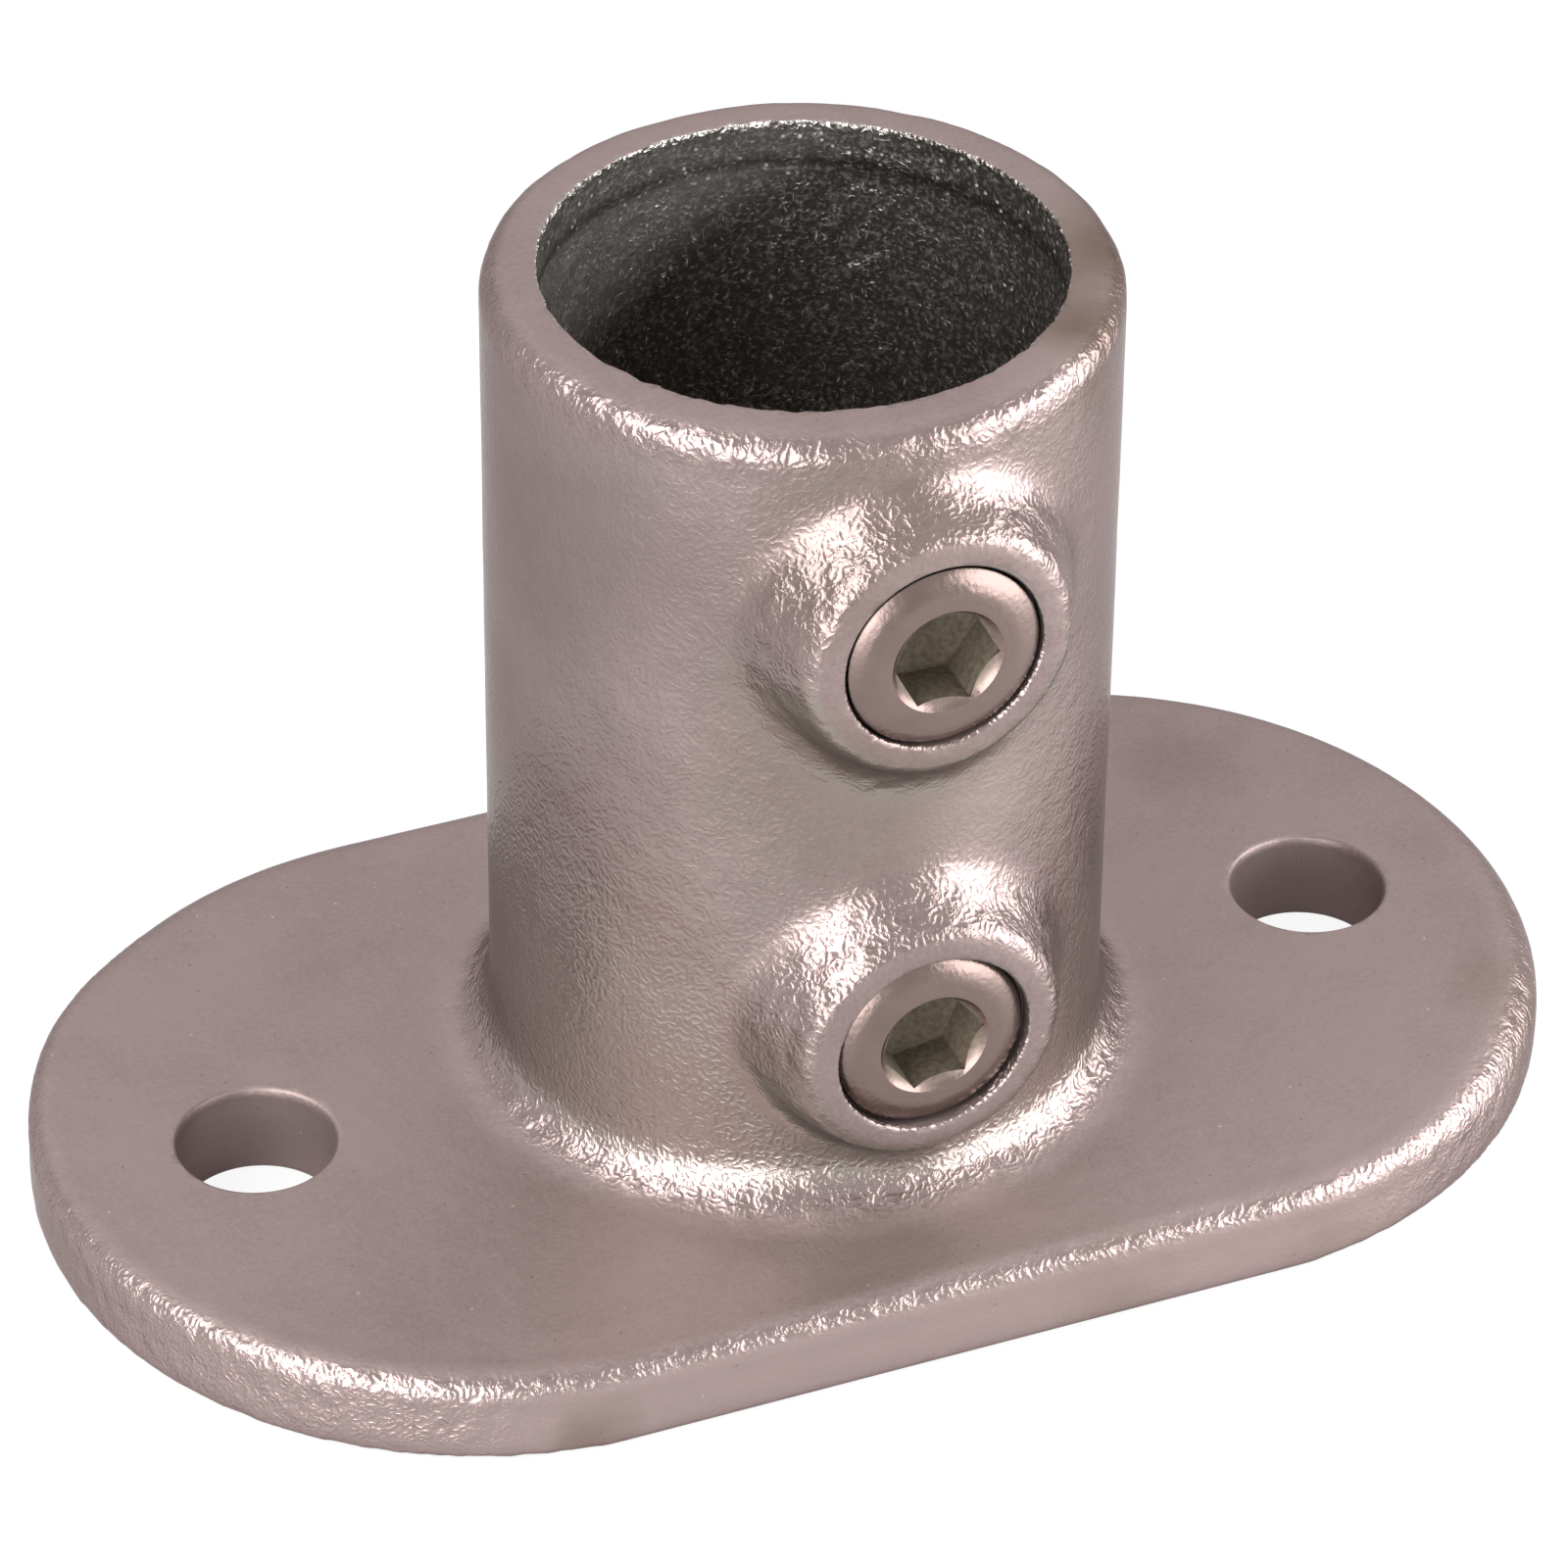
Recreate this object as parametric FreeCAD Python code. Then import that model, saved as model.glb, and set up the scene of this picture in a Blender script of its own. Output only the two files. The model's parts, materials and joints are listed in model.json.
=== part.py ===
import FreeCAD
import Part
import math
import os

# Tube clamp base flange, in millimetres.
# Origin: middle of the plate's underside, on the axis of the tube socket.
# +X runs along the plate, -Y points out of the set screw bosses, +Z runs up the socket.

# base plate
plate_length = 136.4
plate_width = 79.0
plate_thickness = 8.6
plate_edge_round = 4.3
plate_foot_chamfer = 0.5
fixing_hole_spacing = 99.1
fixing_hole_diameter = 13.8
fixing_hole_chamfer = 0.6

# tube socket
overall_height = 86.0
bore_diameter = 43.6
socket_wall = 4.7
rim_round = 2.35
mouth_chamfer = 0.4
mouth_land_height = 3.9
foot_land_height = 6.0
core_relief = 0.2
base_fillet = 5.0

# set screw bosses, the lower one placed from the plate's top and the upper one from the rim
lower_boss_above_plate = 18.6
upper_boss_below_rim = 19.2
boss_stand_out = 4.1
boss_face_margin = 2.92
boss_draft_angle = 22.0
boss_edge_round = 1.3
boss_blend = 7.0
lower_boss_foot_blend = 3.0

# set screws
screw_diameter = 16.66
screw_point_setback = 0.2
screw_running_clearance = 0.05
screw_hole_chamfer = 0.35
screw_crown_width = 2.23
screw_crown_drop = 1.0
screw_point_chamfer = 1.2
hexagon_across_flats = 8.0
hexagon_depth = 5.0
hexagon_countersink_diameter = 9.7
hexagon_drill_point = 1.2
cup_diameter = 8.0
cup_depth = 1.3
upper_screw_stand_out = 0.7
lower_screw_stand_out = 0.0
upper_hexagon_turn = -3.0
lower_hexagon_turn = 9.0

# worked out from the sizes above
bore_radius = bore_diameter / 2
socket_radius = bore_radius + socket_wall
screw_radius = screw_diameter / 2
screw_hole_radius = screw_radius + screw_running_clearance
screw_length = socket_wall + boss_stand_out - screw_point_setback
draft = math.radians(boss_draft_angle)
boss_face_y = -(socket_radius + boss_stand_out)
boss_face_radius = screw_hole_radius + boss_face_margin
boss_root_y = -0.75 * bore_radius
boss_wall_radius = boss_face_radius + boss_stand_out * math.tan(draft)
lower_boss_height = plate_thickness + lower_boss_above_plate
upper_boss_height = overall_height - upper_boss_below_rim
blend_share_of_room = 0.9
past_the_face = 1.0


def vec(x, y, z):
    return FreeCAD.Vector(x, y, z)


def line_edge(start, end):
    return Part.makeLine(start, end)


def arc_edge(start, middle, end):
    return Part.Arc(start, middle, end).toShape()


def on_circle(centre, radius, degrees, along, up):
    turn = math.radians(degrees)
    return centre + along * (radius * math.cos(turn)) + up * (radius * math.sin(turn))


def corner_arc(centre, radius, first, last, along, up):
    middle = (first + last) / 2
    points = [on_circle(centre, radius, degrees, along, up) for degrees in (first, middle, last)]
    return arc_edge(*points)


def chain(points):
    return [line_edge(start, end) for start, end in zip(points, points[1:])]


def turned(edges, axis, angle=360.0):
    # a closed profile swept round an axis through the origin
    return Part.Face(Part.Wire(edges)).revolve(vec(0, 0, 0), axis, angle)


def edges_at_height(shape, height):
    flat = [edge for edge in shape.Edges if edge.BoundBox.ZLength < 1e-6]
    return [edge for edge in flat if abs(edge.BoundBox.ZMin - height) < 1e-6]


def base_plate():
    # obround plate: its top edge is fully rounded over, its foot is only broken
    end_radius = plate_width / 2
    straight = plate_length / 2 - end_radius
    outline = [
        line_edge(vec(-straight, -end_radius, 0), vec(straight, -end_radius, 0)),
        corner_arc(vec(straight, 0, 0), end_radius, -90, 90, vec(1, 0, 0), vec(0, 1, 0)),
        line_edge(vec(straight, end_radius, 0), vec(-straight, end_radius, 0)),
        corner_arc(vec(-straight, 0, 0), end_radius, 90, 270, vec(1, 0, 0), vec(0, 1, 0)),
    ]
    plate = Part.Face(Part.Wire(outline)).extrude(vec(0, 0, plate_thickness))
    plate = plate.makeFillet(plate_edge_round, edges_at_height(plate, plate_thickness))
    return plate.makeChamfer(plate_foot_chamfer, edges_at_height(plate, 0))


def fixing_hole(side):
    # a plain hole with a chamfered upper mouth
    radius = fixing_hole_diameter / 2
    mouth = radius + fixing_hole_chamfer
    shoulder_z = plate_thickness - fixing_hole_chamfer
    top_z = plate_thickness + past_the_face
    profile = chain([
        vec(0, 0, -past_the_face),
        vec(radius, 0, -past_the_face),
        vec(radius, 0, shoulder_z),
        vec(mouth, 0, plate_thickness),
        vec(mouth, 0, top_z),
        vec(0, 0, top_z),
        vec(0, 0, -past_the_face),
    ])
    hole = turned(profile, vec(0, 0, 1))
    hole.translate(vec(side * fixing_hole_spacing / 2, 0, 0))
    return hole


def socket_tube():
    # the upright wall, rounded at the rim and spreading into the plate at its foot, still solid inside
    across = vec(1, 0, 0)
    up = vec(0, 0, 1)
    foot_z = plate_thickness / 2
    foot_radius = socket_radius + base_fillet
    fillet_z = plate_thickness + base_fillet
    rim_z = overall_height - rim_round
    rim_radius = socket_radius - rim_round
    profile = chain([vec(0, 0, foot_z), vec(foot_radius, 0, foot_z), vec(foot_radius, 0, plate_thickness)])
    profile.append(corner_arc(vec(foot_radius, 0, fillet_z), base_fillet, 270, 180, across, up))
    profile.append(line_edge(vec(socket_radius, 0, fillet_z), vec(socket_radius, 0, rim_z)))
    profile.append(corner_arc(vec(rim_radius, 0, rim_z), rim_round, 0, 90, across, up))
    profile += chain([vec(rim_radius, 0, overall_height), vec(0, 0, overall_height), vec(0, 0, foot_z)])
    return turned(profile, up)


def bore_core():
    # the core that leaves the bore: a land at the mouth and one at the foot, and a relieved length between
    relieved = bore_radius + core_relief
    mouth = bore_radius + mouth_chamfer
    land_z = overall_height - mouth_land_height
    top_z = overall_height + past_the_face
    profile = chain([
        vec(0, 0, -past_the_face),
        vec(bore_radius, 0, -past_the_face),
        vec(bore_radius, 0, foot_land_height),
        vec(relieved, 0, foot_land_height + core_relief),
        vec(relieved, 0, land_z - core_relief),
        vec(bore_radius, 0, land_z),
        vec(bore_radius, 0, overall_height - mouth_chamfer),
        vec(mouth, 0, overall_height),
        vec(mouth, 0, top_z),
        vec(0, 0, top_z),
        vec(0, 0, -past_the_face),
    ])
    return turned(profile, vec(0, 0, 1))


def boss_radius_at(y):
    # the tapered side, measured to the sharp corner that the face's rounded edge replaces
    return boss_face_radius + (y - boss_face_y) * math.tan(draft)


def boss_half(height, side):
    # one half of a tapered boss, turned about its own axis away from the middle plane
    across = vec(0, 0, 1)
    out = vec(0, -1, 0)
    flat_radius = boss_face_radius - boss_edge_round * math.tan((math.pi / 2 - draft) / 2)
    arc_centre = vec(0, boss_face_y + boss_edge_round, flat_radius)
    taper_start = on_circle(arc_centre, boss_edge_round, boss_draft_angle, across, out)
    profile = chain([vec(0, boss_root_y, 0), vec(0, boss_root_y, boss_radius_at(boss_root_y)), taper_start])
    profile.append(corner_arc(arc_centre, boss_edge_round, boss_draft_angle, 90, across, out))
    profile += chain([vec(0, boss_face_y, flat_radius), vec(0, boss_face_y, 0), vec(0, boss_root_y, 0)])
    half = turned(profile, vec(0, 1, 0), 180.0 * side)
    half.translate(vec(0, 0, height))
    return half


def edge_ends(edge):
    return edge.valueAt(edge.FirstParameter), edge.valueAt(edge.LastParameter)


def is_boss_root(edge, height):
    # whether an edge is where a boss's tapered side runs into the socket or the fillet at its foot
    middle = edge.valueAt((edge.FirstParameter + edge.LastParameter) / 2)
    off_side = math.hypot(middle.x, middle.z - height) - boss_radius_at(middle.y)
    off_wall = math.hypot(middle.x, middle.y) - socket_radius
    behind_face = middle.y > boss_face_y + boss_edge_round
    return abs(off_side) < 0.01 and off_wall > -0.01 and behind_face and abs(middle.x) > 0.01


def largest_blend(room):
    # the largest root radius whose tangent line stays well within the room beside the boss
    return blend_share_of_room * room / math.tan((math.pi / 2 - draft) / 2)


def blend_at(point, height, top_blend, foot_blend):
    rise = (point.z - height) / math.hypot(point.x, point.z - height)
    return foot_blend + (top_blend - foot_blend) * (1 + rise) / 2


def blended(document, shape, height, top_blend, foot_blend):
    # round a boss's root, with a radius that changes evenly from the foot of the boss to its top
    source = document.addObject("Part::Feature", "source")
    source.Shape = shape
    fillet = document.addObject("Part::Fillet", "fillet")
    fillet.Base = source
    rows = []
    for number, edge in enumerate(shape.Edges, 1):
        if is_boss_root(edge, height):
            radii = [blend_at(point, height, top_blend, foot_blend) for point in edge_ends(edge)]
            rows.append((number, radii[0], radii[1]))
    fillet.Edges = rows
    document.recompute()
    if fillet.Shape.isNull() or not fillet.Shape.isValid():
        raise RuntimeError("the root of a boss could not be rounded")
    return fillet.Shape


def with_boss(document, body, height, top_blend, foot_blend):
    for side in (-1, 1):
        body = body.fuse(boss_half(height, side))
    return blended(document, body, height, top_blend, foot_blend)


def screw_hole(height):
    # the hole through boss and wall for one set screw, with a small chamfer at its mouth
    inward = vec(0, 1, 0)
    mouth_radius = screw_hole_radius + screw_hole_chamfer
    face = vec(0, boss_face_y, height)
    hole = Part.makeCylinder(screw_hole_radius, socket_wall + boss_stand_out + bore_radius / 2, face, inward)
    mouth = Part.makeCone(mouth_radius, screw_hole_radius, screw_hole_chamfer, face, inward)
    return hole.fuse(mouth)


def flange_casting():
    document = FreeCAD.newDocument("flange")
    between = (upper_boss_height - lower_boss_height) / 2 - boss_wall_radius
    below_rim = upper_boss_below_rim - rim_round - boss_wall_radius
    shared_blend = min(boss_blend, largest_blend(between))
    upper_top_blend = min(boss_blend, largest_blend(below_rim))
    body = base_plate().fuse(socket_tube()).removeSplitter()
    body = with_boss(document, body, lower_boss_height, shared_blend, lower_boss_foot_blend)
    body = with_boss(document, body, upper_boss_height, upper_top_blend, shared_blend)
    body = body.cut(bore_core())
    for height in (lower_boss_height, upper_boss_height):
        body = body.cut(screw_hole(height))
    for side in (-1, 1):
        body = body.cut(fixing_hole(side))
    FreeCAD.closeDocument(document.Name)
    return body.removeSplitter()


def screw_blank():
    # a turned blank with its outer end at y = 0 and its point further along +Y
    profile = chain([
        vec(0, 0, 0),
        vec(0, 0, screw_radius - screw_crown_width),
        vec(0, screw_crown_drop, screw_radius),
        vec(0, screw_length - screw_point_chamfer, screw_radius),
        vec(0, screw_length, screw_radius - screw_point_chamfer),
        vec(0, screw_length, 0),
        vec(0, 0, 0),
    ])
    return turned(profile, vec(0, 1, 0))


def hexagon_socket(turn):
    # a broached hexagon over a drilled point, countersunk at its mouth
    inward = vec(0, 1, 0)
    corner = hexagon_across_flats / math.sqrt(3)
    mouth_radius = hexagon_countersink_diameter / 2
    points = [on_circle(vec(0, 0, 0), corner, turn + 60 * step, vec(1, 0, 0), vec(0, 0, 1)) for step in range(7)]
    prism = Part.Face(Part.makePolygon(points)).extrude(inward * hexagon_depth)
    drill_point = Part.makeCone(hexagon_across_flats / 2, 0, hexagon_drill_point, inward * hexagon_depth, inward)
    countersink = Part.makeCone(mouth_radius, 0, mouth_radius, vec(0, 0, 0), inward)
    return prism.fuse(drill_point).fuse(countersink)


def cup_point():
    # the hollow end that bites into the tube
    return Part.makeCone(0, cup_diameter / 2, cup_depth, vec(0, screw_length - cup_depth, 0), vec(0, 1, 0))


def set_screw(height, stand_out, turn):
    screw = screw_blank().cut(hexagon_socket(turn)).cut(cup_point())
    screw.translate(vec(0, boss_face_y - stand_out, height))
    return screw


def only_solid(shape, name):
    if len(shape.Solids) != 1 or not shape.Solids[0].isValid():
        raise RuntimeError(name + " did not come out as one sound solid")
    return shape.Solids[0]


nodes = {
    "flange_casting": flange_casting(),
    "upper_set_screw": set_screw(upper_boss_height, upper_screw_stand_out, upper_hexagon_turn),
    "lower_set_screw": set_screw(lower_boss_height, lower_screw_stand_out, lower_hexagon_turn),
}

os.makedirs("parts", exist_ok=True)
for node_name, node_shape in nodes.items():
    only_solid(node_shape, node_name).exportStep("parts/" + node_name + ".step")
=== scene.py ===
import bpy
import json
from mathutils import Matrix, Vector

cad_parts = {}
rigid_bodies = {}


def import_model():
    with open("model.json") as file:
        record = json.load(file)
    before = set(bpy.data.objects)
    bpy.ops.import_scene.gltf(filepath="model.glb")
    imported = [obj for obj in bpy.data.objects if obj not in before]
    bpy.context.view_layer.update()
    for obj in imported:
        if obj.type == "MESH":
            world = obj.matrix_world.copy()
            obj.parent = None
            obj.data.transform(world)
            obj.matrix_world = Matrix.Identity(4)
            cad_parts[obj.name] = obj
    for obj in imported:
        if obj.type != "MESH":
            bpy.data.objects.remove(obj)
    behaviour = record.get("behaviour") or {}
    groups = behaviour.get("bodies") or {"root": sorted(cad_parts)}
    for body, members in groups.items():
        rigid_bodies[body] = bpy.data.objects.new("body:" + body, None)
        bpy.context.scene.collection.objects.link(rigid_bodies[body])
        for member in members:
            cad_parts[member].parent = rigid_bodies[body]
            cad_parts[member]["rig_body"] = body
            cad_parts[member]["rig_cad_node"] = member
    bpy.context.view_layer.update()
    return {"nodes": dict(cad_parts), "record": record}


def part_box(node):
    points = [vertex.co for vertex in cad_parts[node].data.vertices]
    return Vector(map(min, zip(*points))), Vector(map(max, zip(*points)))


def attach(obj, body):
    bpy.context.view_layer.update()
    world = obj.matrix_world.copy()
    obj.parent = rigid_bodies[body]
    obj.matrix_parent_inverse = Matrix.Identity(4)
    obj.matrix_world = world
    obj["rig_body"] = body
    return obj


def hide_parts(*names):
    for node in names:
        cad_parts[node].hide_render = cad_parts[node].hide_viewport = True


bl_info = {
    "name": "Tube clamp base flange",
    "version": (1, 0, 0),
    "blender": (4, 5, 0),
    "location": "3D View > Sidebar > Flange",
    "description": "Dresses a cast and galvanised tube clamp base flange with its two set screws",
    "category": "Add Mesh",
}

import bpy
import json
import math
import numpy as np
from mathutils import Matrix, Vector
from types import SimpleNamespace

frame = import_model()

MM = 0.001
INCH = 25.4 * MM


def mount(name):
    return next(entry for entry in frame["record"]["mounts"] if entry["name"] == name)


# places and sizes that the frame gives, in metres
casting_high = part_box("flange_casting")[1]
plate_end_radius = casting_high.y
plate_top = mount("fixing_holes")["pos_m"][2] * 2
bore_radius = mount("tube_socket")["dims"]["r_mm"] * MM
fixing_hole_x = mount("fixing_holes")["dims"]["spacing_x_mm"] * MM / 2
fixing_hole_radius = mount("fixing_holes")["dims"]["hole_r_mm"] * MM
screw_boxes = {name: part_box(name) for name in ("upper_set_screw", "lower_set_screw")}
screw_radius = (screw_boxes["upper_set_screw"][1].x - screw_boxes["upper_set_screw"][0].x) / 2
screw_length = screw_boxes["upper_set_screw"][1].y - screw_boxes["upper_set_screw"][0].y
boss_face_y = screw_boxes["lower_set_screw"][0].y

# sizes of the casting that no mount gives: the socket, the lower end of the land at the bore's mouth, the
# heights where the rounded rim starts and where it is full, and where the mouth of the bore is ragged
SOCKET_RADIUS = 26.5 * MM
LAND_Z = casting_high.z - 3.9 * MM
RIM_START = casting_high.z - 4 * MM
RIM_FULL = casting_high.z - 2 * MM
LIP_START = casting_high.z - 1.1 * MM
LIP_FULL = casting_high.z - 0.4 * MM


def linear(hex_colour):
    # an sRGB hex colour as linear red, green and blue
    channels = [int(hex_colour[i:i + 2], 16) / 255 for i in (0, 2, 4)]
    return tuple(c / 12.92 if c <= 0.04045 else ((c + 0.055) / 1.055) ** 2.4 for c in channels)


def rgba(colour):
    return (*colour, 1.0)


def per_mm(millimetres):
    # texture scale that gives one feature in so many millimetres, on coordinates in metres
    return 1 / (millimetres * MM)


class FlangeSizes(bpy.types.PropertyGroup):
    thread_pitch: bpy.props.FloatProperty(
        name="Thread pitch", description="19 turns to the inch", default=INCH / 19, unit="LENGTH",
        precision=5)
    thread_depth: bpy.props.FloatProperty(
        name="Thread depth", description="Crest to root", default=0.856 * MM, unit="LENGTH", precision=5)
    thread_gap: bpy.props.FloatProperty(
        name="Thread gap", description="Room between screw and tapped hole", default=0.05 * MM,
        unit="LENGTH", precision=5)
    hexagon_width: bpy.props.FloatProperty(
        name="Hexagon", description="Across the flats", default=8 * MM, unit="LENGTH", precision=5)
    hexagon_depth: bpy.props.FloatProperty(
        name="Hexagon depth", description="Depth of the key socket", default=5 * MM, unit="LENGTH",
        precision=5)
    countersink: bpy.props.FloatProperty(
        name="Countersink", description="Width of the mouth of the key socket", default=9.7 * MM,
        unit="LENGTH", precision=5)
    skin_voxel: bpy.props.FloatProperty(
        name="Skin grid", description="Grid that the casting's skin is made on", default=0.76 * MM,
        unit="LENGTH", precision=5)


class FlangeFinish(bpy.types.PropertyGroup):
    # pale and dull zinc at random, also used for painted light and painted shade
    zinc_pale_and_painted_light: bpy.props.FloatVectorProperty(
        name="Pale zinc and painted light", description="Rubbed and brighter zinc, also painted light", subtype="COLOR",
        default=linear("998886"))
    zinc_dull_and_painted_shade: bpy.props.FloatVectorProperty(
        name="Dull zinc and painted shade", description="Duller zinc in the low places, also painted shade", subtype="COLOR",
        default=linear("776967"))
    # painted bounce light: lighter, greyer zinc in the corners
    zinc_sheltered: bpy.props.FloatVectorProperty(
        name="Painted bounce light", description="Lighter, greyer zinc painted into the corners as bounce light", subtype="COLOR",
        default=linear("918c85"))
    bore_dark: bpy.props.FloatVectorProperty(
        name="Bore skin", description="Zinc over the sand-cast bore", subtype="COLOR",
        default=linear("706a65"))
    bore_light: bpy.props.FloatVectorProperty(
        name="Bore grains", description="Bright grains in the bore", subtype="COLOR",
        default=linear("c8c1bb"))
    # painted light: the lit patch inside the left of the bore
    bore_painted_light: bpy.props.FloatVectorProperty(
        name="Bore patch", description="Painted light inside the left of the bore", subtype="COLOR",
        default=linear("f0eae4"))
    smudge: bpy.props.FloatVectorProperty(
        name="Smudge", description="Brown handling marks", subtype="COLOR", default=linear("6b5a4d"))
    # also painted shadow: the dark line in the groove under the bore's land
    thread_dirt_and_groove_shadow: bpy.props.FloatVectorProperty(
        name="Thread dirt and groove shadow", description="Dark film in the threads, also the painted shadow in the bore's groove", subtype="COLOR",
        default=linear("24211e"))
    # the key socket's darker olive colour
    hexagon_darker_colour: bpy.props.FloatVectorProperty(
        name="Hexagon colour", description="Darker olive colour in the key socket", subtype="COLOR",
        default=linear("665c4e"))
    plated: bpy.props.FloatVectorProperty(
        name="Plated steel", description="Zinc plated and turned steel", subtype="COLOR",
        default=linear("806f6a"))


# selecting and shaping


def only_select(*objects):
    if bpy.context.object and bpy.context.object.mode != "OBJECT":
        bpy.ops.object.mode_set(mode="OBJECT")
    bpy.ops.object.select_all(action="DESELECT")
    for item in objects:
        item.select_set(True)
    bpy.context.view_layer.objects.active = objects[0] if objects else None


def apply_modifier(piece, kind, **settings):
    only_select(piece)
    modifier = piece.modifiers.new(kind.title(), kind)
    for key, value in settings.items():
        setattr(modifier, key, value)
    bpy.ops.object.modifier_apply(modifier=modifier.name)


def cut(piece, tool, operation="DIFFERENCE"):
    apply_modifier(piece, "BOOLEAN", object=tool, operation=operation, solver="EXACT")
    bpy.data.objects.remove(tool)


def drawn(name, points):
    # a line drawn from point to point
    only_select()
    bpy.ops.mesh.primitive_plane_add(size=MM)
    line = bpy.context.object
    line.name = name
    bpy.ops.object.mode_set(mode="EDIT")
    bpy.ops.mesh.merge(type="CENTER")
    bpy.ops.transform.translate(value=points[0])
    for start, end in zip(points, points[1:]):
        step = Vector(end) - Vector(start)
        bpy.ops.mesh.extrude_vertices_move(TRANSFORM_OT_translate={"value": step})
    bpy.ops.object.mode_set(mode="OBJECT")
    return line


def close_up():
    # in edit mode: merge what meets and point the faces outwards
    bpy.ops.mesh.select_all(action="SELECT")
    bpy.ops.mesh.remove_doubles(threshold=0.001 * MM)
    bpy.ops.mesh.normals_make_consistent(inside=False)


def turned(name, profile, steps):
    # a solid turned about Y from (radius, y) points that start and end on the axis
    piece = drawn(name, [(radius, y, 0) for radius, y in profile])
    bpy.ops.object.mode_set(mode="EDIT")
    bpy.ops.mesh.select_all(action="SELECT")
    bpy.ops.mesh.spin(steps=steps, angle=2 * math.pi, center=(0, 0, 0), axis=(0, 1, 0))
    close_up()
    bpy.ops.object.mode_set(mode="OBJECT")
    return piece


def place(piece, offset):
    # move the mesh and leave the object at the origin
    only_select(piece)
    bpy.ops.object.mode_set(mode="EDIT")
    bpy.ops.mesh.select_all(action="SELECT")
    bpy.ops.transform.translate(value=offset)
    bpy.ops.object.mode_set(mode="OBJECT")


def cylinder(steps, radius, depth, middle, along_y=False):
    only_select()
    bpy.ops.mesh.primitive_cylinder_add(vertices=steps, radius=radius, depth=depth, location=middle,
                                        rotation=(math.pi / 2 if along_y else 0, 0, 0))
    bpy.ops.object.transform_apply(location=True, rotation=True, scale=True)
    return bpy.context.object


def points_of(piece):
    points = np.empty(len(piece.data.vertices) * 3)
    piece.data.vertices.foreach_get("co", points)
    return points.reshape(-1, 3)


def ramp(values, start, end):
    # 0 before start, 1 after end, smooth between
    share = np.clip((values - start) / (end - start), 0, 1)
    return share * share * (3 - 2 * share)


def weigh(piece, name, weights):
    # a vertex group from one weight per vertex, in twentieths
    group = piece.vertex_groups.new(name=name)
    steps = np.rint(np.clip(weights, 0, 1) * 20).astype(int)
    for step in range(1, 21):
        group.add(np.flatnonzero(steps == step).tolist(), step / 20, "REPLACE")
    return group.name


# the thread, a pipe thread with rounded crests and roots: along in pitches, and height in depths

THREAD_FORM = ((0.0, 0.0), (0.12, 0.08), (0.38, 0.92), (0.5, 1.0), (0.62, 0.92), (0.88, 0.08))
THREAD_LEAD_IN = 1.5
THREAD_STEPS = 96


def threaded_rod(name, crest, pitch, depth, start, end):
    # one pitch of the thread's outline wound along Y, then cut off square at both ends
    first = start - THREAD_LEAD_IN * pitch
    turns = math.ceil((end - first) / pitch + THREAD_LEAD_IN)
    outline = [(crest - depth * (1 - high), first + along * pitch, 0) for along, high in THREAD_FORM]
    outline.append((crest - depth, first + pitch, 0))
    rod = drawn(name, outline)
    apply_modifier(rod, "SCREW", axis="Y", angle=2 * math.pi, screw_offset=pitch, iterations=turns,
                   steps=THREAD_STEPS, render_steps=THREAD_STEPS, use_merge_vertices=False,
                   use_normal_calculate=True)
    only_select(rod)
    bpy.ops.object.mode_set(mode="EDIT")
    bpy.ops.mesh.select_all(action="SELECT")
    bpy.ops.mesh.remove_doubles(threshold=0.001 * MM)
    for y, outward in ((start, -1), (end, 1)):
        bpy.ops.mesh.select_all(action="SELECT")
        bpy.ops.mesh.bisect(plane_co=(0, y, 0), plane_no=(0, outward, 0), use_fill=True, clear_outer=True,
                            threshold=0.0001 * MM)
    close_up()
    bpy.ops.object.mode_set(mode="OBJECT")
    return rod


# the screws: the crown is an arc from one slope to another, carried a little past the screw's side, which
# trims it, and every cutter stands past what it cuts

PAST = 1.0 * MM
CROWN_WIDTH = 2.23 * MM
CROWN_START = math.radians(8)
CROWN_END = math.radians(40)
CROWN_BEYOND = math.radians(43)
CROWN_STEPS = 10
COLLAR_DEPTH = 1.5 * MM
COLLAR_STEP = 0.03 * MM
POINT_CHAMFER = 1.2 * MM
POINT_STEP = 0.2 * MM
CUP_RADIUS = 4.0 * MM
CUP_DEPTH = 1.3 * MM
DRILL_INSIDE_FLATS = 0.02 * MM
DRILL_POINT = 1.2 * MM
SCREW_SMOOTH_ANGLE = math.radians(28)
HEXAGON_TURN = {"upper_set_screw": math.radians(-3), "lower_set_screw": math.radians(9)}


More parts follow.
